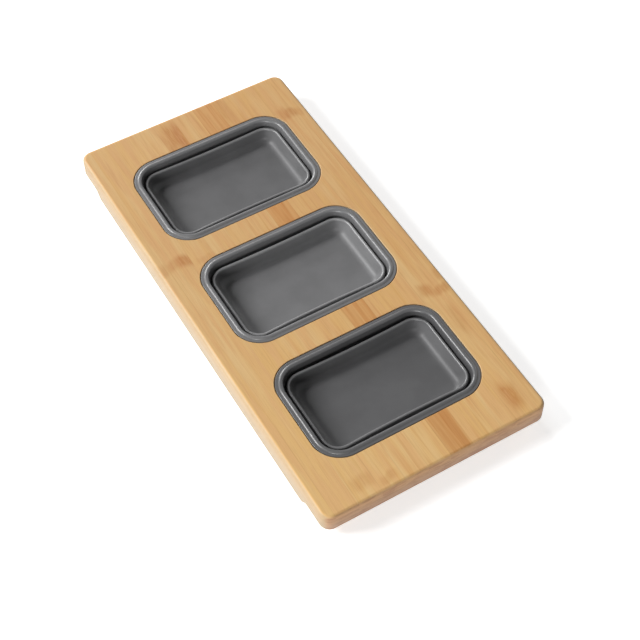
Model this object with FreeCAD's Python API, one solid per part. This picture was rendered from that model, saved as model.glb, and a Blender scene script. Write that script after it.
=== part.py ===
import FreeCAD, Part
import math
import os

# Bamboo board that lies over a sink and carries three collapsible trays in windows.
# X runs across the board, Y along it, Z up. The origin is the middle of the underside.
# Every length is in millimetres.

# Board: three plies glued face to face, routed thinner under both short ends
board_length = 432.0
board_width = 204.7
top_ply = 8.5
core_ply = 9.0
bottom_ply = 8.7
plan_corner_radius = 9.0
top_roundover = 3.0
bottom_roundover = 2.5
strip_count = 11
edge_strip_width = 9.2

# Ledges: the rebates under the short ends that sit on the rim of a sink
ledge_length = 30.0
ledge_depth = 6.7
ledge_ramp = 6.0
ledge_blend = 3.0

# Windows and the seats sunk round them for the tray rims
tray_count = 3
tray_pitch = 126.0
seat_length = 154.1
seat_width = 102.3
seat_corner_radius = 25.5
seat_depth = 1.8
seat_ledge = 4.05
seat_edge_radius = 0.5
window_edge_radius = 0.8

# Tray rim: flat flange, rounded bead and a short skirt that locates it in the window
flange_clearance = 0.6
flange_thickness = 1.5
flange_edge_radius = 0.5
bead_inset = 5.1
bead_radius = 2.2
bead_rise = 0.8
skirt_clearance = 0.55
skirt_thickness = 1.4
skirt_taper = 2.2
skirt_depth = 7.0

# Folding wall: a soft U between the skirt and the lip of the tub
fold_thickness = 1.1
fold_setback = 0.1
fold_groove = 2.2
fold_blend = 1.6

# Tub: rounded lip, drafted wall and flat floor
tray_depth = 18.8
lip_drop = 4.0
lip_radius = 1.4
lip_skirt = 0.3
tub_wall_gap = 0.1
side_draft_run = 2.2
end_draft_run = 4.2
tub_fillet = 6.0
floor_thickness = 1.8
end_reach = 0.6
side_setback = 0.4
side_bow = 1.0

# Places that follow from the sizes above
board_top = top_ply + core_ply + bottom_ply
seat_z = board_top - seat_depth
flange_top = seat_z + flange_thickness
skirt_bottom = board_top - skirt_depth
tray_bottom = board_top - tray_depth
floor_z = tray_bottom + floor_thickness
lip_top = board_top - lip_drop
lip_underside = lip_top - lip_radius - lip_skirt
skirt_outer = seat_ledge + skirt_clearance
skirt_foot_outer = skirt_outer + skirt_taper
skirt_foot_inner = skirt_foot_outer + skirt_thickness
fold_outer = skirt_foot_outer + fold_setback
fold_inner = fold_outer + fold_thickness + fold_groove
lip_outer = fold_inner
lip_inner = lip_outer + 2 * lip_radius
wall_outer = fold_inner + fold_thickness + tub_wall_gap
strip_width = (board_width - 2 * edge_strip_width) / (strip_count - 2)

UP = FreeCAD.Vector(0, 0, 1)
TOUCH = 0.001


def vector(x, y, z=0.0):
    return FreeCAD.Vector(x, y, z)


def turned(point, centre, degrees):
    """The point turned about a vertical line through the centre."""
    return centre + FreeCAD.Rotation(UP, degrees).multVec(point - centre)


class Segment:
    """One straight or round stretch of a loop that runs counter-clockwise."""

    def __init__(self, start, heading, length=0.0, centre=None, turn=0.0):
        self.start = start
        self.heading = heading
        self.length = length
        self.centre = centre
        self.turn = turn

    def inward(self):
        return FreeCAD.Rotation(UP, self.heading + 90).multVec(vector(1, 0))

    def point(self, share, inset):
        start = self.start + self.inward() * inset
        if self.centre is None:
            along = FreeCAD.Rotation(UP, self.heading).multVec(vector(1, 0))
            return start + along * (share * self.length)
        return turned(start, self.centre, share * self.turn)

    def edge(self, inset, z):
        lift = vector(0, 0, z)
        first = self.point(0, inset) + lift
        last = self.point(1, inset) + lift
        if self.centre is None:
            return Part.LineSegment(first, last).toShape()
        return Part.Arc(first, self.point(0.5, inset) + lift, last).toShape()

    def solid(self, profile):
        """The profile, drawn as inset along X and height along Z, carried along the stretch."""
        face = profile.copy()
        face.Placement = FreeCAD.Placement(self.start, FreeCAD.Rotation(UP, self.heading + 90))
        if self.centre is None:
            return face.extrude(self.point(1, 0) - self.start)
        return face.revolve(self.centre, UP, self.turn)


class Loop:
    """Rounded rectangle about the origin. Its sides along X may bow inwards by a given amount."""

    def __init__(self, length_x, length_y, radius, bow=0.0):
        centre_x = length_x / 2 - radius
        centre_y = length_y / 2 - radius
        lean = 2 * math.degrees(math.atan2(bow, centre_x))
        corner = vector(centre_x, centre_y)
        corner_turn = 90 + lean
        side = Segment(vector(length_x / 2, -centre_y), 90, length=2 * centre_y)
        first_corner = Segment(vector(length_x / 2, centre_y), 90, centre=corner, turn=corner_turn)
        side_start = first_corner.point(1, 0)
        if bow:
            reach = centre_x / math.sin(math.radians(lean))
            far_centre = vector(0, centre_y + reach * math.cos(math.radians(lean)))
            long_side = Segment(side_start, 180 + lean, centre=far_centre, turn=-2 * lean)
        else:
            long_side = Segment(side_start, 180, length=2 * centre_x)
        second_start = vector(-side_start.x, side_start.y)
        second_corner = Segment(
            second_start, 180 - lean, centre=vector(-centre_x, centre_y), turn=corner_turn
        )
        half = [side, first_corner, long_side, second_corner]
        self.segments = half + [self.opposite(segment) for segment in half]

    def opposite(self, segment):
        centre = None if segment.centre is None else segment.centre * -1
        return Segment(
            segment.start * -1, segment.heading + 180, segment.length, centre, segment.turn
        )

    def wire(self, inset, z):
        return Part.Wire([segment.edge(inset, z) for segment in self.segments])

    def face(self, inset, z):
        return Part.Face(self.wire(inset, z))

    def prism(self, inset, low, high):
        return self.face(inset, low).extrude(UP * (high - low))

    def ring(self, outer, inner, low, high):
        return self.prism(outer, low, high).cut(self.prism(inner, low, high))

    def sweep(self, profile):
        pieces = [segment.solid(profile) for segment in self.segments]
        return pieces[0].multiFuse(pieces[1:]).removeSplitter()


def profile_face(corners):
    """Closed section from (inset, z) points. A pair of points is an arc: one it passes, one it ends at."""
    start = corners[0]
    here = start
    edges = []
    for corner in corners[1:] + [start]:
        if isinstance(corner[0], tuple):
            middle, end = corner
            arc = Part.Arc(vector(here[0], 0, here[1]), vector(middle[0], 0, middle[1]),
                           vector(end[0], 0, end[1]))
            edges.append(arc.toShape())
        else:
            end = corner
            line = Part.LineSegment(vector(here[0], 0, here[1]), vector(end[0], 0, end[1]))
            edges.append(line.toShape())
        here = end
    return Part.Face(Part.Wire(edges))


def rounded(before, corner, after, radius):
    """Start of the arc that rounds a corner of a section, and the arc itself for profile_face."""
    to_before = (vector(*before) - vector(*corner)).normalize()
    to_after = (vector(*after) - vector(*corner)).normalize()
    half_angle = to_before.getAngle(to_after) / 2
    tangent = radius / math.tan(half_angle)
    bisector = (to_before + to_after).normalize()
    centre = vector(*corner) + bisector * (radius / math.sin(half_angle))
    first = vector(*corner) + to_before * tangent
    middle = centre - bisector * radius
    last = vector(*corner) + to_after * tangent
    return (first.x, first.y), ((middle.x, middle.y), (last.x, last.y))


def on_circle(centre, radius, angle):
    return (centre[0] + radius * math.cos(angle), centre[1] + radius * math.sin(angle))


# Board

def rebate(end):
    """Tool that thins one short end from below, with a blended ramp up to the full thickness."""
    outside = board_length / 2 + plan_corner_radius
    shoulder = board_length / 2 - ledge_length
    foot = shoulder - ledge_ramp
    below = -ledge_depth
    shoulder_start, shoulder_arc = rounded(
        (outside, ledge_depth), (shoulder, ledge_depth), (foot, 0), ledge_blend
    )
    foot_start, foot_arc = rounded(
        (shoulder, ledge_depth), (foot, 0), (foot - ledge_ramp, 0), ledge_blend
    )
    section = profile_face([
        (outside, below), (outside, ledge_depth), shoulder_start, shoulder_arc,
        foot_start, foot_arc, (foot_arc[1][0], below),
    ])
    section.rotate(vector(0, 0), UP, 90 * end)
    section.translate(vector(-board_width / 2 - plan_corner_radius, 0))
    return section.extrude(vector(board_width + 2 * plan_corner_radius, 0))


def on_outline(edge):
    """True for an edge that lies in the upright sides of the board."""
    corner_x = board_width / 2 - plan_corner_radius
    corner_y = board_length / 2 - plan_corner_radius
    for share in (0.1, 0.5, 0.9):
        first, last = edge.ParameterRange
        point = edge.valueAt(first + share * (last - first))
        past_x = max(abs(point.x) - corner_x, 0)
        past_y = max(abs(point.y) - corner_y, 0)
        if abs(math.hypot(past_x, past_y) - plan_corner_radius) > TOUCH:
            return False
    return True


def board_blank():
    outline = Loop(board_width, board_length, plan_corner_radius)
    blank = outline.prism(0, 0, board_top)
    for end in (-1, 1):
        blank = blank.cut(rebate(end))
    blank = blank.removeSplitter()
    sides = [edge for edge in blank.Edges if on_outline(edge)]
    upper = [edge for edge in sides if edge.BoundBox.ZMin > board_top - TOUCH]
    lower = [
        edge for edge in sides
        if edge.BoundBox.ZMax < ledge_depth + TOUCH and edge.BoundBox.ZMin > -TOUCH
    ]
    blank = blank.makeFillet(top_roundover, upper)
    lower = [match for match in blank.Edges if any(same_edge(match, edge) for edge in lower)]
    return blank.makeFillet(bottom_roundover, lower)


def same_edge(one, other):
    return one.CenterOfMass.distanceToPoint(other.CenterOfMass) < TOUCH


def tray_places():
    first = -(tray_count - 1) / 2 * tray_pitch
    return [first + number * tray_pitch for number in range(tray_count)]


def board():
    seat = Loop(seat_length, seat_width, seat_corner_radius)
    shape = board_blank()
    for place in tray_places():
        recess = seat.prism(0, seat_z, board_top + seat_depth)
        window = seat.prism(seat_ledge, -seat_depth, board_top)
        shape = shape.cut(recess.fuse(window).translated(vector(0, place)))
    shape = shape.makeFillet(seat_edge_radius, mouths(shape, board_top))
    return shape.makeFillet(window_edge_radius, mouths(shape, 0))


def mouths(shape, height):
    """Edges at one height that run round the recesses or the windows, and not round the board."""
    reach = seat_length / 2 + seat_ledge
    mouth = []
    for edge in shape.Edges:
        box = edge.BoundBox
        level = abs(box.ZMin - height) < TOUCH and abs(box.ZMax - height) < TOUCH
        if level and box.XMin > -reach and box.XMax < reach:
            mouth.append(edge)
    return mouth


def slab(low, high, left=-board_width / 2, right=board_width / 2):
    """Box across the whole length of the board between two heights and two sides."""
    return Part.makeBox(right - left, board_length, high - low, vector(left, -board_length / 2, low))


def strip_edges():
    """Sides of the strips of the top ply. The outermost strips are sawn narrow and the rest are even."""
    first = -board_width / 2 + edge_strip_width
    seams = [first + number * strip_width for number in range(strip_count - 1)]
    return [-board_width / 2] + seams + [board_width / 2]


# Trays

def rim_frame():
    bead_z = board_top + bead_rise - bead_radius
    bead = (bead_inset, bead_z)
    foot = (skirt_foot_inner, skirt_bottom)
    start = math.pi - math.asin((flange_top - bead_z) / bead_radius)
    foot_angle = math.atan2(foot[1] - bead[1], foot[0] - bead[0])
    foot_distance = math.hypot(foot[0] - bead[0], foot[1] - bead[1])
    end = foot_angle + math.acos(bead_radius / foot_distance)
    edge_start, edge_arc = rounded(
        (flange_clearance, seat_z), (flange_clearance, flange_top),
        (bead_inset, flange_top), flange_edge_radius
    )
    return Loop(seat_length, seat_width, seat_corner_radius).sweep(profile_face([
        (flange_clearance, seat_z),
        edge_start,
        edge_arc,
        on_circle(bead, bead_radius, start),
        (on_circle(bead, bead_radius, (start + end) / 2), on_circle(bead, bead_radius, end)),
        foot,
        (skirt_foot_outer, skirt_bottom),
        (skirt_outer, seat_z),
    ]))


def inner_loop(end_trim=0.0):
    """Loop that the lip and the tub follow. Against the seat, its ends reach out and its sides lie back."""
    length = seat_length + 2 * (end_reach - end_trim)
    return Loop(length, seat_width - 2 * side_setback, seat_corner_radius, side_bow)


def folding_wall():
    straight = Loop(seat_length, seat_width, seat_corner_radius)
    bowed = inner_loop()
    outer_leg = straight.ring(fold_outer, fold_outer + fold_thickness, tray_bottom, skirt_bottom)
    inner_leg = bowed.ring(fold_inner, fold_inner + fold_thickness, tray_bottom, lip_underside)
    web_face = straight.face(fold_outer, tray_bottom).cut(
        bowed.face(fold_inner + fold_thickness, tray_bottom)
    )
    web = web_face.extrude(UP * fold_thickness)
    wall = outer_leg.multiFuse([inner_leg, web]).removeSplitter()
    foot_edges = [edge for edge in wall.Edges if edge.BoundBox.ZMax < tray_bottom + TOUCH]
    return wall.makeFillet(fold_blend, foot_edges)


def tapered_block(top_inset, foot_inset, foot_z):
    """Block below the lip with a rounded foot. Its ends lean in further than its sides."""
    top = inner_loop().wire(top_inset, lip_underside)
    foot = inner_loop(end_draft_run - side_draft_run).wire(foot_inset, foot_z)
    block = Part.makeLoft([foot, top], True, True)
    foot_edges = [edge for edge in block.Edges if edge.BoundBox.ZMax < foot_z + TOUCH]
    return block.makeFillet(tub_fillet, foot_edges)


def base_tub():
    draft = side_draft_run / (lip_underside - floor_z)
    outer_foot = wall_outer + draft * (lip_underside - tray_bottom)
    outside = tapered_block(wall_outer, outer_foot, tray_bottom)
    inside = tapered_block(lip_inner, lip_inner + side_draft_run, floor_z)
    lip_z = lip_top - lip_radius
    lip = inner_loop().sweep(profile_face([
        (lip_outer, lip_underside),
        (lip_outer, lip_z),
        (((lip_outer + lip_inner) / 2, lip_top), (lip_inner, lip_z)),
        (lip_inner, lip_underside),
    ]))
    return outside.cut(inside).fuse(lip).removeSplitter()


# Nodes

def write(name, shape):
    shape.exportStep("parts/" + name + ".step")
    print(name, len(shape.Solids), round(shape.Volume, 1), shape.isValid())


def write_board():
    whole = board()
    write("bottom_ply", whole.common(slab(0, bottom_ply)))
    write("core_ply", whole.common(slab(bottom_ply, bottom_ply + core_ply)))
    edges = strip_edges()
    for number, (left, right) in enumerate(zip(edges, edges[1:]), 1):
        strip = whole.common(slab(bottom_ply + core_ply, board_top, left, right))
        write("top_strip_%02d" % number, strip)


def write_trays():
    pieces = {"rim_frame": rim_frame(), "folding_wall": folding_wall(), "base_tub": base_tub()}
    for number, place in enumerate(tray_places(), 1):
        for piece, shape in pieces.items():
            write("tray_%d_%s" % (number, piece), shape.translated(vector(0, place)))


os.makedirs("parts", exist_ok=True)
write_board()
write_trays()
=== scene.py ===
"""Bamboo board with three collapsible trays: materials, detailed tray meshes, light and camera."""

import math

import bmesh
import bpy
from mathutils import Matrix, Vector


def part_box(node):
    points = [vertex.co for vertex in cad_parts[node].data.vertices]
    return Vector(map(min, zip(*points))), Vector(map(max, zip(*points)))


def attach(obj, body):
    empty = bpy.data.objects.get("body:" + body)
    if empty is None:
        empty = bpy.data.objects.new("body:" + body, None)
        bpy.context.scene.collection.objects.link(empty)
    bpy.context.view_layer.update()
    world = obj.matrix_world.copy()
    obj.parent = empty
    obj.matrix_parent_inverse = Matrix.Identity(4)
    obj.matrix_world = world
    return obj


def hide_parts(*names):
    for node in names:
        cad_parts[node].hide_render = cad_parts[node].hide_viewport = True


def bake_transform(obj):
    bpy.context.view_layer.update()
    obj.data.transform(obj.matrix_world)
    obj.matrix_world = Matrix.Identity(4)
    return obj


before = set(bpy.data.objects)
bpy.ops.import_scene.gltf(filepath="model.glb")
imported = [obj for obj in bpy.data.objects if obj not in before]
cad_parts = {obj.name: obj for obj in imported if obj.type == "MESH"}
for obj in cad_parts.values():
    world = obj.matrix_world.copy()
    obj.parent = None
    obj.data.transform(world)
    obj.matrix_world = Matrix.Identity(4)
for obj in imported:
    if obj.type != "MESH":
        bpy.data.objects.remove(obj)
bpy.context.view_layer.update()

TRAYS = (1, 2, 3)
STRIP_COUNT = 11
# Its top is the board's surface, from which the trays' recesses are cut
MIDDLE_STRIP = "top_strip_06"

# Sizes of the tray sections in metres. An inset is measured inwards from the edge of the recess.
FLANGE_CLEARANCE = 0.0006
FLANGE_THICKNESS = 0.0015
FLANGE_EDGE_RADIUS = 0.0005
SEAT_RADIUS = 0.0255
SEAT_DEPTH = 0.0018
SEAT_LEDGE = 0.00405
BEAD_INSET = 0.0051
BEAD_RADIUS = 0.0022
SKIRT_OUTER = 0.0046
SKIRT_FOOT_OUTER = 0.0068
SKIRT_FOOT_INNER = 0.0082
FOLD_OUTER = 0.0069
FOLD_INNER = 0.0102
FOLD_THICKNESS = 0.0011
LIP_RADIUS = 0.0014
LIP_SKIRT = 0.0003
LIP_INNER = FOLD_INNER + 2 * LIP_RADIUS
WALL_CLEARANCE = 0.0001
WALL_OUTER = FOLD_INNER + FOLD_THICKNESS + WALL_CLEARANCE
SIDE_DRAFT_RUN = 0.0022
END_DRAFT_RUN = 0.0042
TUB_FILLET = 0.006
FLOOR_MARGIN = 0.001
FLOOR_THICKNESS = 0.0018
END_REACH = 0.0006
SIDE_BOW = 0.001
SIDE_SETBACK = 0.0004

# Samples along the outline of a tray
CORNER_STEPS = 20
LONG_STEPS = 16
SHORT_STEPS = 8
# Samples along its sections
BEAD_STEPS = 20
LIP_STEPS = 12
FILLET_STEPS = 10
EDGE_STEPS = 6
FOLD_STEPS = 24
TURN_STEPS = 8
SHARP_ANGLE = math.radians(38)


# Outlines and sweeps


class Outline:
    """Rounded rectangle whose long sides may bow: points and inward normals, counter-clockwise."""

    def __init__(self, centre, half_x, half_y, radius, bow=0.0):
        corner_x = half_x - radius
        corner_y = half_y - radius
        lean = 2 * math.atan2(bow, corner_x)
        turn = math.pi / 2 + lean
        self.samples = []
        for step in range(SHORT_STEPS):
            along = 2 * step / SHORT_STEPS - 1
            self.add(half_x, along * corner_y, 0.0)
        for step in range(CORNER_STEPS):
            angle = turn * step / CORNER_STEPS
            x = corner_x + radius * math.cos(angle)
            self.add(x, corner_y + radius * math.sin(angle), angle)
        start = Vector((corner_x + radius * math.cos(turn), corner_y + radius * math.sin(turn)))
        for step in range(LONG_STEPS):
            share = 1 - 2 * step / LONG_STEPS
            angle = math.pi / 2 + lean * share
            rise = start.x * share * share * math.tan(lean) / 2
            low = start.y - start.x * math.tan(lean) / 2
            self.add(start.x * share, low + rise, angle)
        for step in range(CORNER_STEPS):
            angle = math.pi / 2 - lean + turn * step / CORNER_STEPS
            x = -corner_x + radius * math.cos(angle)
            self.add(x, corner_y + radius * math.sin(angle), angle)
        self.samples += [(-point, -normal) for point, normal in self.samples]
        self.centre = centre

    def add(self, x, y, outward_angle):
        normal = Vector((-math.cos(outward_angle), -math.sin(outward_angle)))
        self.samples.append((Vector((x, y)), normal))

    def ring(self, inset, z):
        """Points of the outline moved inwards, at a height."""
        flat = [self.centre.xy + point + normal * inset for point, normal in self.samples]
        return [Vector((point.x, point.y, z)) for point in flat]


def arc(centre, radius, start, end, steps):
    """Points of an arc in a section, from one angle in degrees to another."""
    points = []
    for step in range(steps + 1):
        angle = math.radians(start + (end - start) * step / steps)
        points.append((centre[0] + radius * math.cos(angle), centre[1] + radius * math.sin(angle)))
    return points


def fillet(before, corner, after, radius, steps):
    """Points of the arc that rounds a corner of a section."""
    here = Vector(corner)
    to_before = (Vector(before) - here).normalized()
    to_after = (Vector(after) - here).normalized()
    half_angle = to_before.angle(to_after) / 2
    centre = here + (to_before + to_after).normalized() * (radius / math.sin(half_angle))
    first = here + to_before * (radius / math.tan(half_angle)) - centre
    last = here + to_after * (radius / math.tan(half_angle)) - centre
    points = []
    for step in range(steps + 1):
        spread = first.slerp(last, step / steps)
        points.append(tuple(centre + spread.normalized() * radius))
    return points


def spaced(first, last, steps):
    """Evenly spaced numbers, both ends among them."""
    return [first + (last - first) * step / steps for step in range(steps + 1)]


def sweep(name, rings, closed=True, caps=False):
    """Mesh through the rings. It is closed on itself, or its first and last ring are filled."""
    mesh = bmesh.new()
    layers = [[mesh.verts.new(point) for point in ring] for ring in rings]
    pairs = list(zip(layers, layers[1:]))
    if closed:
        pairs.append((layers[-1], layers[0]))
    for lower, upper in pairs:
        count = len(lower)
        for number in range(count):
            following = (number + 1) % count
            corners = (lower[number], lower[following], upper[following], upper[number])
            mesh.faces.new(corners)
    if caps:
        mesh.faces.new(layers[0])
        mesh.faces.new(layers[-1])
    bmesh.ops.recalc_face_normals(mesh, faces=mesh.faces)
    data = bpy.data.meshes.new(name)
    mesh.to_mesh(data)
    mesh.free()
    data.shade_smooth()
    data.set_sharp_from_angle(angle=SHARP_ANGLE)
    piece = bpy.data.objects.new(name, data)
    bpy.context.scene.collection.objects.link(piece)
    return piece


# Materials

# How far one step of the seed moves a noise
SEED_SHIFT = (3.7, 1.3, 2.1)
# The Mix node's sockets for colours
MIX_SHARE, MIX_FIRST, MIX_SECOND, MIX_RESULT = 0, 6, 7, 2
WHITE = (1.0, 1.0, 1.0, 1.0)


def srgb(red, green, blue):
    """Linear colour of an 8-bit display colour."""
    shares = (channel / 255 for channel in (red, green, blue))
    linear = [(c / 12.92 if c <= 0.04045 else ((c + 0.055) / 1.055) ** 2.4) for c in shares]
    return (*linear, 1.0)


class Material:
    """Node material round one Principled shader, with short calls for the nodes it needs."""

    def __init__(self, name, roughness, **settings):
        self.data = bpy.data.materials.new(name)
        self.data.use_nodes = True
        self.tree = self.data.node_tree
        self.tree.nodes.clear()
        self.surface = self.add("ShaderNodeBsdfPrincipled")
        self.surface.inputs["Roughness"].default_value = roughness
        for socket, value in settings.items():
            self.surface.inputs[socket.replace("_", " ")].default_value = value
        output = self.add("ShaderNodeOutputMaterial")
        self.join(self.surface.outputs["BSDF"], output.inputs["Surface"])
        self.place = self.add("ShaderNodeTexCoord").outputs["Object"]

    def add(self, kind):
        return self.tree.nodes.new(kind)

    def join(self, source, socket):
        if isinstance(source, bpy.types.NodeSocket):
            self.tree.links.new(source, socket)
        else:
            socket.default_value = source

    def noise(self, scale, seed, detail=2.0, roughness=0.5):
        """Noise with its own scale along each axis, in features per metre."""
        mapping = self.add("ShaderNodeMapping")
        self.join(self.place, mapping.inputs["Vector"])
        mapping.inputs["Scale"].default_value = scale
        mapping.inputs["Location"].default_value = [seed * shift for shift in SEED_SHIFT]
        noise = self.add("ShaderNodeTexNoise")
        noise.inputs["Scale"].default_value = 1.0
        noise.inputs["Detail"].default_value = detail
        noise.inputs["Roughness"].default_value = roughness
        self.join(mapping.outputs["Vector"], noise.inputs["Vector"])
        return noise.outputs["Fac"]

    def math(self, operation, first, second=0.0):
        node = self.add("ShaderNodeMath")
        node.operation = operation
        self.join(first, node.inputs[0])
        self.join(second, node.inputs[1])
        return node.outputs[0]

    def span(self, value, low, high, to_low=0.0, to_high=1.0):
        """The value's stretch from low to high, smoothly mapped to another stretch."""
        node = self.add("ShaderNodeMapRange")
        node.interpolation_type = "SMOOTHSTEP"
        for socket, number in zip(list(node.inputs)[1:5], (low, high, to_low, to_high)):
            socket.default_value = number
        self.join(value, node.inputs[0])
        return node.outputs[0]

    def mix(self, share, first, second, blend="MIX"):
        node = self.add("ShaderNodeMix")
        node.data_type = "RGBA"
        node.blend_type = blend
        self.join(share, node.inputs[MIX_SHARE])
        self.join(first, node.inputs[MIX_FIRST])
        self.join(second, node.inputs[MIX_SECOND])
        return node.outputs[MIX_RESULT]

    def tint(self, share, colour, left):
        """The colour with these shares of it left, as far as the share says."""
        return self.mix(share, colour, left, "MULTIPLY")

    def colour(self, source):
        self.join(source, self.surface.inputs["Base Color"])

    def rough(self, source):
        self.join(source, self.surface.inputs["Roughness"])

    def bump(self, height, depth):
        node = self.add("ShaderNodeBump")
        node.inputs["Strength"].default_value = 1.0
        node.inputs["Distance"].default_value = depth
        self.join(height, node.inputs["Height"])
        self.join(node.outputs["Normal"], self.surface.inputs["Normal"])

    def axis(self, letter):
        node = self.add("ShaderNodeSeparateXYZ")
        self.join(self.place, node.inputs[0])
        return node.outputs[letter]


# Wood colours, and the shares of red, green and blue that a darker mark leaves of them
HONEY = srgb(228, 185, 120)
STRAW = srgb(231, 195, 137)
PEACH = srgb(226, 181, 123)
SHADOW = srgb(206, 152, 92)
STREAK_TINT = (0.89, 0.77, 0.64, 1.0)
FIBRE_TINT = (0.82, 0.76, 0.70, 1.0)
SEAM_TINT = (0.72, 0.62, 0.52, 1.0)
NODE_TINT = (0.76, 0.57, 0.42, 1.0)
# Painted shade: the shares left at the far end of the board, which is darker and redder there
FAR_PAINTED_SHADE = (0.88, 0.83, 0.80, 1.0)
# Long sides, paler and greyer than the top: partly the wood's own colour, partly a painted sheen
SIDE_TOP_AND_SHEEN = srgb(190, 162, 124)
SIDE_FOOT_AND_SHEEN = srgb(183, 166, 142)
END_TOP = srgb(202, 158, 113)
END_FOOT = srgb(192, 158, 134)
END_TINT = (0.77, 0.69, 0.68, 1.0)
SIDE_TINT = (0.93, 0.90, 0.86, 1.0)
# Painted highlight: how much lighter the sides and ends are along their rounded top edge
EDGE_PAINTED_HIGHLIGHT = (1.12, 1.2, 1.3, 1.0)

# Features per metre along X, along the grain, and upwards
DRIFT_SCALE = (95.0, 6.0, 95.0)
BLUSH_SCALE = (150.0, 14.0, 150.0)
BAND_SCALE = (210.0, 5.0, 210.0)
STREAK_SCALE = (330.0, 15.0, 330.0)
FIBRE_SCALE = (1300.0, 40.0, 1300.0)
SEAM_SCALE = (4.0, 14.0, 4.0)
WAVER_SCALE = (60.0, 12.0, 60.0)
FRAY_SCALE = (900.0, 90.0, 900.0)
SIDE_SCALE = (40.0, 14.0, 230.0)
END_SCALE = (70.0, 70.0, 420.0)
END_PORE_SCALE = (900.0, 60.0, 900.0)

# The stretch of a noise over which its mark comes up, and what it comes up from and to
DRIFT_SPAN = (0.3, 0.7)
BLUSH_SPAN = (0.4, 0.65)
BAND_SPAN = (0.38, 0.62, 0.75, 1.15)
DARK_BAND_SPAN = (0.48, 0.62, 0.0, 0.5)
STREAK_SPAN = (0.48, 0.74)
FIBRE_SPAN = (0.42, 0.75, 0.0, 0.45)
FIBRE_ROUGHNESS_SPAN = (0.3, 0.8, 0.5, 0.62)
SEAM_SPAN = (0.45, 0.62, 0.0, 0.35)
WAVER_SPAN = (0.25, 0.75, -0.003, 0.003)
FRAY_SPAN = (0.35, 0.65, 0.65, 1.0)
LAYER_SPAN = (0.35, 0.7)
FLECK_SPAN = (0.42, 0.66, 0.0, 0.9)
PORE_SPAN = (0.5, 0.7, 0.0, 0.5)
# The same for a place on the board, in metres along Y and above its underside
# Painted shade comes up along this stretch of Y, towards the far end
FAR_PAINTED_SHADE_SPAN = (-0.26, 0.12)
HEIGHT_SPAN = (0.004, 0.026)
# The painted highlight along the top edge comes up over this stretch of height
EDGE_HIGHLIGHT_SPAN = (0.0236, 0.0256)
# The same for how far a face looks sideways or endways
SIDEWAYS_SPAN = (0.25, 0.75)
ENDWAYS_SPAN = (0.45, 0.85)

# Part of a soft mark that is at its full strength
MARK_CORE = 0.25
SEAM_REACH = 0.0007
# Keeps the glue lines' noises apart, by where along X they lie
SEAM_SEEDS_PER_METRE = 100
# A strip above this shade has dark bands as well
DARK_SHADE = 0.5
PLAIN_STREAKINESS = 0.4
LACQUER = {"Specular_IOR_Level": 0.4, "Coat_Weight": 0.06, "Coat_Roughness": 0.45}
WOOD_ROUGHNESS = 0.56
FIBRE_DEPTH = 0.00008


def window(wood, coordinate, centre, half):
    """Soft hill of height 1 round a place along one axis."""
    distance = wood.math("ABSOLUTE", wood.math("SUBTRACT", coordinate, centre))
    return wood.span(distance, MARK_CORE * half, half, 1.0, 0.0)


def knuckle_mask(wood, seed, knuckles):
    """Where a strip shows the brown nodes of the cane: stains that fray along the grain."""
    waver = wood.span(wood.noise(WAVER_SCALE, seed), *WAVER_SPAN)
    along = wood.math("ADD", wood.axis("Y"), waver)
    mask = 0.0
    for x, y, half_x, half_y, strength in knuckles:
        across = window(wood, wood.axis("X"), x, half_x)
        hill = wood.math("MULTIPLY", across, window(wood, along, y, half_y))
        stain = wood.math("MULTIPLY", hill, strength)
        mask = stain if mask == 0.0 else wood.math("MAXIMUM", mask, stain)
    fray = wood.span(wood.noise(FRAY_SCALE, seed + 1, roughness=0.6), *FRAY_SPAN)
    return wood.math("MULTIPLY", mask, fray)


def grain_colour(wood, seed, shade, streakiness, fibres):
    """Colour along the grain: drifts, bands, streaks and fibres, with painted shade towards the
    far end.
    """
    drift = wood.noise(DRIFT_SCALE, seed, detail=1.0)
    blush = wood.noise(BLUSH_SCALE, seed + 1)
    bands = wood.noise(BAND_SCALE, seed + 2, detail=1.0)
    streaks = wood.noise(STREAK_SCALE, seed + 3)
    colour = wood.mix(wood.span(drift, *DRIFT_SPAN), HONEY, STRAW)
    colour = wood.mix(wood.span(blush, *BLUSH_SPAN), colour, PEACH)
    # Painted shade, darker towards the far end
    colour = wood.tint(wood.span(wood.axis("Y"), *FAR_PAINTED_SHADE_SPAN), colour, FAR_PAINTED_SHADE)
    depth = wood.math("MULTIPLY", wood.span(bands, *BAND_SPAN), shade)
    colour = wood.mix(depth, colour, SHADOW)
    colour = wood.tint(wood.span(streaks, *STREAK_SPAN, 0.0, streakiness), colour, STREAK_TINT)
    if shade > DARK_SHADE:
        colour = wood.tint(wood.span(bands, *DARK_BAND_SPAN), colour, STREAK_TINT)
    return wood.tint(wood.span(fibres, *FIBRE_SPAN), colour, FIBRE_TINT)


def side_colour(wood, seed, height, edge):
    """Colour of the long sides, in layers along the grain: partly their own colour, partly a
    painted sheen, with a painted highlight along the top edge.
    """
    layers = wood.noise(SIDE_SCALE, seed)
    colour = wood.mix(height, SIDE_FOOT_AND_SHEEN, SIDE_TOP_AND_SHEEN)
    colour = wood.tint(wood.span(layers, *LAYER_SPAN), colour, SIDE_TINT)
    return wood.tint(edge, colour, EDGE_PAINTED_HIGHLIGHT)


def end_colour(wood, seed, height, edge):
    """Colour of the ends, where the cut fibres show as flecks and pores, with a painted highlight
    along the top edge.
    """
    flecks = wood.noise(END_SCALE, seed, detail=3.0, roughness=0.6)
    pores = wood.noise(END_PORE_SCALE, seed + 1, roughness=0.7)
    colour = wood.mix(height, END_FOOT, END_TOP)
    colour = wood.tint(wood.span(flecks, *FLECK_SPAN), colour, END_TINT)
    colour = wood.tint(wood.span(pores, *PORE_SPAN), colour, END_TINT)
    return wood.tint(edge, colour, EDGE_PAINTED_HIGHLIGHT)


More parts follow.
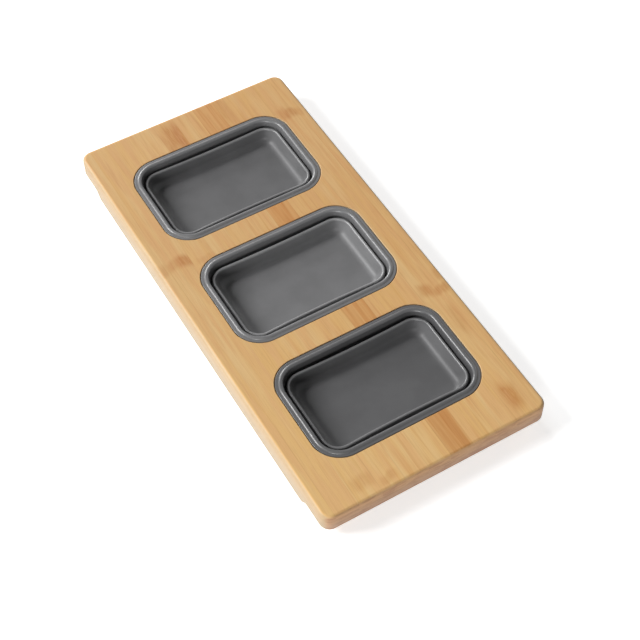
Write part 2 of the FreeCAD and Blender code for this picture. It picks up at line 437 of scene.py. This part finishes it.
def bamboo(name, seed, shade, streakiness=PLAIN_STREAKINESS, knuckles=(), seams=()):
    """Lacquered bamboo with its grain along Y. Shade runs from 0, pale, to 1, the darkest."""
    wood = Material(name, WOOD_ROUGHNESS, **LACQUER)
    fibres = wood.noise(FIBRE_SCALE, seed + 4, detail=3.0, roughness=0.65)
    colour = grain_colour(wood, seed, shade, streakiness, fibres)
    for seam in seams:
        near = window(wood, wood.axis("X"), seam, SEAM_REACH)
        patches = wood.noise(SEAM_SCALE, seed + 5 + SEAM_SEEDS_PER_METRE * seam)
        patchy = wood.span(patches, *SEAM_SPAN)
        colour = wood.tint(wood.math("MULTIPLY", near, patchy), colour, SEAM_TINT)
    if knuckles:
        colour = wood.tint(knuckle_mask(wood, seed + 6, knuckles), colour, NODE_TINT)

    facing = wood.add("ShaderNodeSeparateXYZ")
    wood.join(wood.add("ShaderNodeNewGeometry").outputs["Normal"], facing.inputs[0])
    height = wood.span(wood.axis("Z"), *HEIGHT_SPAN)
    # Painted highlight along the rounded top edge of the sides and ends
    edge = wood.span(wood.axis("Z"), *EDGE_HIGHLIGHT_SPAN)
    sideways = wood.span(wood.math("ABSOLUTE", facing.outputs["X"]), *SIDEWAYS_SPAN)
    endways = wood.span(wood.math("ABSOLUTE", facing.outputs["Y"]), *ENDWAYS_SPAN)
    # The long sides carry a painted sheen as well as their own colour
    colour = wood.mix(sideways, colour, side_colour(wood, seed + 8, height, edge))
    colour = wood.mix(endways, colour, end_colour(wood, seed + 9, height, edge))

    wood.colour(colour)
    wood.rough(wood.span(fibres, *FIBRE_ROUGHNESS_SPAN))
    wood.bump(fibres, FIBRE_DEPTH)
    return wood.data


# The plastic's features per metre, the stretch over which they show, and what they change
PLASTIC_GRAIN_SCALE = (2600.0, 2600.0, 2600.0)
CLOUD_SCALE = (45.0, 45.0, 45.0)
PLASTIC_SPAN = (0.3, 0.7)
CLOUD_SHARE = 0.88
PLASTIC_ROUGHNESS_REACH = 0.03
PLASTIC_GRAIN_DEPTH = 0.00002
COAT_ROUGHNESS = 0.35


def tray_plastic(name, colour, seed, roughness, specular, coat=0.0):
    """Moulded plastic with a fine grain and faint clouds."""
    gloss = {"Specular_IOR_Level": specular, "Coat_Weight": coat, "Coat_Roughness": COAT_ROUGHNESS}
    plastic = Material(name, roughness, **gloss)
    grain = plastic.noise(PLASTIC_GRAIN_SCALE, seed, roughness=0.7)
    cloud = plastic.noise(CLOUD_SCALE, seed + 1)
    darker = tuple(channel * CLOUD_SHARE for channel in colour[:3]) + (1.0,)
    plastic.colour(plastic.mix(plastic.span(cloud, *PLASTIC_SPAN), darker, colour))
    smoothest = roughness - PLASTIC_ROUGHNESS_REACH
    roughest = roughness + PLASTIC_ROUGHNESS_REACH
    plastic.rough(plastic.span(grain, *PLASTIC_SPAN, smoothest, roughest))
    plastic.bump(grain, PLASTIC_GRAIN_DEPTH)
    return plastic.data


def wear(piece, material, lower=None, below=0.0):
    """The piece shows this material, and may show another one below a height."""
    piece.data.materials.clear()
    piece.data.materials.append(material)
    if lower:
        piece.data.materials.append(lower)
        for face in piece.data.polygons:
            face.material_index = int(face.center.z < below)


# Trays


class Tray:
    """Sizes and outlines of one tray, read from its solids."""

    def __init__(self, number):
        self.name = "tray_%d" % number
        low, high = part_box(self.name + "_rim_frame")
        tub_low, tub_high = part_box(self.name + "_base_tub")
        half_x = (high.x - low.x) / 2 + FLANGE_CLEARANCE
        half_y = (high.y - low.y) / 2 + FLANGE_CLEARANCE
        centre = (low + high) / 2
        self.straight = Outline(centre, half_x, half_y, SEAT_RADIUS)
        reach_x = half_x + END_REACH
        foot_x = reach_x - END_DRAFT_RUN + SIDE_DRAFT_RUN
        self.bowed = Outline(centre, reach_x, half_y - SIDE_SETBACK, SEAT_RADIUS, SIDE_BOW)
        self.foot = Outline(centre, foot_x, half_y - SIDE_SETBACK, SEAT_RADIUS, SIDE_BOW)
        self.crest = high.z
        self.skirt_bottom = low.z
        self.bottom = tub_low.z
        self.lip_top = tub_high.z
        self.lip_underside = self.lip_top - LIP_RADIUS - LIP_SKIRT

    def rim(self):
        """Rim with its flange in the recess, its bead, and its skirt down through the window."""
        bead = (BEAD_INSET, self.crest - BEAD_RADIUS)
        seat_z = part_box(MIDDLE_STRIP)[1].z - SEAT_DEPTH
        flange_top = seat_z + FLANGE_THICKNESS
        foot = (SKIRT_FOOT_INNER, self.skirt_bottom)
        start = 180 - math.degrees(math.asin((flange_top - bead[1]) / BEAD_RADIUS))
        to_foot = Vector(foot) - Vector(bead)
        tangent = math.acos(BEAD_RADIUS / to_foot.length)
        end = math.degrees(math.atan2(to_foot.y, to_foot.x) + tangent)
        low = (FLANGE_CLEARANCE, seat_z)
        edge = (FLANGE_CLEARANCE, flange_top)
        section = [low]
        section += fillet(low, edge, (BEAD_INSET, flange_top), FLANGE_EDGE_RADIUS, EDGE_STEPS)
        section += arc(bead, BEAD_RADIUS, start, end, BEAD_STEPS)
        section += [foot, (SKIRT_FOOT_OUTER, self.skirt_bottom), (SKIRT_OUTER, seat_z)]
        rings = [self.straight.ring(inset, z) for inset, z in section]
        piece = sweep(self.name + "_rim", rings)
        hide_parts(self.name + "_rim_frame")
        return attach(piece, self.name)

    def tub_ring(self, inset, z, foot_z):
        """Ring of the tub, whose ends lean in further than its sides from lip to foot."""
        depth = (self.lip_underside - z) / (self.lip_underside - foot_z)
        share = min(max(depth, 0.0), 1.0)
        pairs = zip(self.bowed.ring(inset, z), self.foot.ring(inset, z))
        return [upper.lerp(lower, share) for upper, lower in pairs]

    def tub(self):
        """Base tub with its rounded lip, drafted wall and flat floor."""
        lip_z = self.lip_top - LIP_RADIUS
        floor_z = self.bottom + FLOOR_THICKNESS
        wall_top = (LIP_INNER, self.lip_underside)
        wall_foot = (LIP_INNER + SIDE_DRAFT_RUN, floor_z)
        draft = SIDE_DRAFT_RUN / (self.lip_underside - floor_z)
        outer_foot = (WALL_OUTER + draft * (self.lip_underside - self.bottom), self.bottom)
        on_floor = (wall_foot[0] + TUB_FILLET, floor_z)
        inner = fillet(wall_top, wall_foot, on_floor, TUB_FILLET, FILLET_STEPS)
        floor_edge = inner[-1][0] + FLOOR_MARGIN
        below = (floor_edge, self.bottom)
        outer_top = (WALL_OUTER, self.lip_underside)
        outer = fillet(below, outer_foot, outer_top, TUB_FILLET, FILLET_STEPS)
        outside = [below] + outer + [outer_top]
        inside = [(FOLD_INNER, self.lip_underside)]
        inside += arc((FOLD_INNER + LIP_RADIUS, lip_z), LIP_RADIUS, 180, 0, LIP_STEPS)
        inside += [wall_top] + inner + [(floor_edge, floor_z)]
        rings = [self.tub_ring(inset, z, self.bottom) for inset, z in outside]
        rings += [self.tub_ring(inset, z, floor_z) for inset, z in inside]
        piece = sweep(self.name + "_tub", rings, closed=False, caps=True)
        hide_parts(self.name + "_base_tub")
        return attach(piece, self.name + "_base")

    def fold_ring(self, inset, z):
        """Ring of the folding wall, straight at its outer leg and bowed at its inner leg."""
        gap = FOLD_INNER - FOLD_OUTER - FOLD_THICKNESS
        share = min(max((inset - FOLD_OUTER - FOLD_THICKNESS) / gap, 0.0), 1.0)
        pairs = zip(self.straight.ring(inset, z), self.bowed.ring(inset, z))
        return [straight.lerp(bowed, share) for straight, bowed in pairs]

    def fold(self):
        """Two halves of the soft wall. On the real tray the inner one rolls down as the base is
        pushed out.
        """
        middle = (FOLD_OUTER + FOLD_INNER + FOLD_THICKNESS) / 2
        outside = middle - FOLD_OUTER
        inside = outside - FOLD_THICKNESS
        turn = (middle, self.bottom + outside)
        halves = (("outer", self.skirt_bottom, 180, -1), ("inner", self.lip_underside, 360, 1))
        for side, top, start, sign in halves:
            legs = spaced(top, turn[1], FOLD_STEPS)
            section = [(middle + sign * outside, z) for z in legs]
            section += arc(turn, outside, start, 270, TURN_STEPS)[1:]
            section += arc(turn, inside, 270, start, TURN_STEPS)
            section += [(middle + sign * inside, z) for z in reversed(legs[:-1])]
            rings = [self.fold_ring(inset, z) for inset, z in section]
            piece = sweep("%s_fold_%s" % (self.name, side), rings)
            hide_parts(self.name + "_folding_wall")
            if side == "outer":
                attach(piece, self.name)
            else:
                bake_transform(piece)
            yield piece


# What each piece wears

SATIN = {"roughness": 0.34, "specular": 0.5, "coat": 0.4}
MATTE = {"roughness": 0.43, "specular": 0.35}
DULL = {"roughness": 0.43, "specular": 0.25}
SOFT = {"roughness": 0.5, "specular": 0.3}
TUB_FINISH = {1: DULL, 2: MATTE, 3: MATTE}
# Greys of each tray's rim, lip, tub and folding wall, which have a touch of blue. The lip's
# lighter grey is a painted highlight, and the folding wall's lighter grey is painted light in the
# shaded groove
TRAY_GREYS_WITH_PAINTED_LIGHT = {1: (84, 104, 104, 110), 2: (109, 138, 124, 142), 3: (108, 122, 110, 142)}

# How streaked and how dark the strips are, where they differ from the plain ones
STREAKINESS = {1: 0.25, 2: 0.25, 4: 0.6, 5: 0.6, 6: 0.75, 7: 0.9, 8: 0.7, 10: 0.5}
SHADES = {5: 0.12, 6: 0.1, 7: 0.88, 8: 0.15, 9: 0.12, 10: 0.16, 11: 0.22}
PLY_SHADE = 0.05
# Seeds that keep the pieces' noises apart
STRIP_SEED_STEP = 10
CORE_SEED = 130
BOTTOM_SEED = 150
TRAY_SEED_STEP = 7
# A glue line shows on the top at a strip's edge that lies nearer the middle than this
SEAM_LIMIT = 0.1
# Brown marks of the cane's nodes on each strip: X, Y, half width, half length, strength
KNUCKLES = {
    1: [(-0.098, 0.058, 0.008, 0.009, 0.5)],
    2: [(-0.077, 0.058, 0.012, 0.009, 1.0), (-0.086, 0.059, 0.013, 0.008, 0.6)],
    3: [(-0.060, 0.053, 0.014, 0.005, 0.35), (-0.061, -0.200, 0.014, 0.010, 0.5)],
    4: [(-0.041, -0.207, 0.012, 0.006, 0.45)],
    5: [
        (-0.017, 0.194, 0.014, 0.024, 1.0),
        (-0.014, 0.184, 0.008, 0.014, 1.0),
        (-0.026, 0.186, 0.008, 0.020, 0.6),
    ],
    7: [(0.0170, -0.190, 0.004, 0.040, 0.25), (0.0262, -0.190, 0.003, 0.040, 0.15)],
    8: [(0.036, 0.200, 0.009, 0.030, 0.45)],
    10: [
        (0.087, 0.165, 0.013, 0.008, 0.8),
        (0.080, 0.168, 0.008, 0.009, 0.45),
        (0.081, -0.071, 0.009, 0.010, 0.8),
        (0.090, -0.075, 0.008, 0.007, 0.65),
        (0.082, -0.194, 0.010, 0.019, 0.9),
        (0.080, -0.189, 0.006, 0.010, 0.9),
        (0.088, -0.109, 0.007, 0.022, 0.4),
    ],
    11: [
        (0.095, 0.164, 0.004, 0.008, 0.5),
        (0.096, -0.075, 0.007, 0.007, 0.7),
        (0.099, -0.061, 0.005, 0.009, 0.5),
    ],
}


def dress_board():
    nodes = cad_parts
    for number in range(1, STRIP_COUNT + 1):
        name = "top_strip_%02d" % number
        low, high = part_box(name)
        seams = [x for x in (low.x, high.x) if abs(x) < SEAM_LIMIT]
        shade = SHADES.get(number, 0.0)
        streakiness = STREAKINESS.get(number, PLAIN_STREAKINESS)
        marks = KNUCKLES.get(number, ())
        seed = STRIP_SEED_STEP * number
        wood = bamboo("bamboo_%02d" % number, seed, shade, streakiness, marks, seams)
        wear(nodes[name], wood)
    wear(nodes["core_ply"], bamboo("bamboo_core", CORE_SEED, PLY_SHADE))
    wear(nodes["bottom_ply"], bamboo("bamboo_bottom", BOTTOM_SEED, PLY_SHADE))


def dress_tray(number):
    tray = Tray(number)
    seed = TRAY_SEED_STEP * number
    rim, lip, tub, wall = (srgb(grey, grey, grey + 1) for grey in TRAY_GREYS_WITH_PAINTED_LIGHT[number])
    satin = tray_plastic("plastic_rim_%d" % number, rim, seed, **SATIN)
    # The lip wears a lighter grey than the rim: a painted highlight along its rounded top
    lip_painted_highlight = tray_plastic("plastic_lip_painted_highlight_%d" % number, lip, seed + 2, **SATIN)
    matte = tray_plastic("plastic_tub_%d" % number, tub, seed + 3, **TUB_FINISH[number])
    # The folding wall wears a lighter grey than the rim and tub: painted light lifting the shade
    # in the groove
    soft = tray_plastic("plastic_wall_painted_light_%d" % number, wall, seed + 5, **SOFT)
    wear(tray.rim(), satin)
    wear(tray.tub(), lip_painted_highlight, matte, tray.lip_underside)
    for piece in tray.fold():
        wear(piece, soft)


dress_board()
for number in TRAYS:
    dress_tray(number)


# Floor, light and camera

FLOOR_REACH = 3.0
# Keeps the floor's face apart from the board's underside
FLOOR_GAP = 0.0003
# How far the floor's openings reach past the windows
OPENING_REACH = 0.001
FLOOR_COLOUR = (0.9, 0.9, 0.9, 1.0)
FLOOR_ROUGHNESS = 0.9
# Added where the floor is seen, so that its lit parts show white and its shadow stays
FLOOR_LIFT = 0.66

LAMP_DISTANCE = 9.0
LAMP_WIDTH = 3.4
# Name, azimuth and elevation in degrees, power in watts
LAMPS = [
    ("key", 151, 35, 790.0),
    ("back_low", 92, 20, 480.0),
    ("front_low", 228, 10, 470.0),
    ("right_low", 15, 20, 70.0),
]

SENSOR_WIDTH = 36.0
LENS = 81.17
CLIP_START = 0.05
CLIP_END = 20.0
CAMERA_AT = Vector((-0.36665, -0.66170, 0.97780))
CAMERA_SIGHT = Vector((0.30067, 0.51402, -0.80336))
CAMERA_ROLL = math.radians(-0.327)


def seen_directly(tree):
    """Socket that is 1 for the rays that see the white surroundings, and 0 for the rest."""
    path = tree.nodes.new("ShaderNodeLightPath")
    seen = path.outputs["Is Camera Ray"]
    for ray in ("Is Glossy Ray", "Is Transmission Ray"):
        either = tree.nodes.new("ShaderNodeMath")
        either.operation = "MAXIMUM"
        tree.links.new(seen, either.inputs[0])
        tree.links.new(path.outputs[ray], either.inputs[1])
        seen = either.outputs[0]
    return seen


def make_floor():
    """White floor that takes the shadow. It is open under the windows, as a sink is."""
    mesh = bmesh.new()
    corners = ((-1, -1), (1, -1), (1, 1), (-1, 1))
    loops = [[(x * FLOOR_REACH, y * FLOOR_REACH, -FLOOR_GAP) for x, y in corners]]
    inset = SEAT_LEDGE - OPENING_REACH
    loops += [Tray(number).straight.ring(inset, -FLOOR_GAP) for number in TRAYS]
    for loop in loops:
        points = [mesh.verts.new(point) for point in loop]
        for number, point in enumerate(points):
            mesh.edges.new((points[number - 1], point))
    bmesh.ops.triangle_fill(mesh, use_beauty=True, edges=mesh.edges, normal=(0.0, 0.0, 1.0))
    data = bpy.data.meshes.new("floor")
    mesh.to_mesh(data)
    mesh.free()
    floor = bpy.data.objects.new("floor", data)
    bpy.context.scene.collection.objects.link(floor)
    white = Material("floor_white", FLOOR_ROUGHNESS, Base_Color=FLOOR_COLOUR)
    white.surface.inputs["Specular IOR Level"].default_value = 0.0
    white.surface.inputs["Emission Color"].default_value = WHITE
    lift = white.math("MULTIPLY", seen_directly(white.tree), FLOOR_LIFT)
    white.join(lift, white.surface.inputs["Emission Strength"])
    wear(floor, white.data)


def make_world():
    """World that shows white without lighting the object."""
    world = bpy.data.worlds.new("world")
    world.use_nodes = True
    tree = world.node_tree
    tree.nodes.clear()
    background = tree.nodes.new("ShaderNodeBackground")
    background.inputs["Color"].default_value = WHITE
    tree.links.new(seen_directly(tree), background.inputs["Strength"])
    output = tree.nodes.new("ShaderNodeOutputWorld")
    tree.links.new(background.outputs[0], output.inputs["Surface"])
    bpy.context.scene.world = world


def make_lamp(name, azimuth, elevation, power):
    """Square soft lamp that looks at the board's middle. Azimuth 0 is +X, and 90 is +Y."""
    data = bpy.data.lights.new(name, "AREA")
    data.shape = "SQUARE"
    data.size = LAMP_WIDTH
    data.energy = power
    lamp = bpy.data.objects.new(name, data)
    bpy.context.scene.collection.objects.link(lamp)
    turn = math.radians(azimuth)
    rise = math.radians(elevation)
    level = math.cos(rise)
    away = Vector((level * math.cos(turn), level * math.sin(turn), math.sin(rise)))
    lamp.location = away * LAMP_DISTANCE
    lamp.rotation_mode = "QUATERNION"
    lamp.rotation_quaternion = away.to_track_quat("Z", "Y")
    lamp.visible_camera = False


def make_camera():
    """Camera where the fit of the board's edges to the photograph puts it."""
    data = bpy.data.cameras.new("camera")
    data.sensor_width = SENSOR_WIDTH
    data.lens = LENS
    data.clip_start = CLIP_START
    data.clip_end = CLIP_END
    camera = bpy.data.objects.new("camera", data)
    bpy.context.scene.collection.objects.link(camera)
    turn = CAMERA_SIGHT.to_track_quat("-Z", "Y").to_matrix().to_4x4()
    roll = Matrix.Rotation(CAMERA_ROLL, 4, "Z")
    camera.matrix_world = Matrix.Translation(CAMERA_AT) @ turn @ roll
    bpy.context.scene.camera = camera


make_floor()
make_world()
for lamp in LAMPS:
    make_lamp(*lamp)
make_camera()
bpy.context.scene.view_settings.view_transform = "Standard"
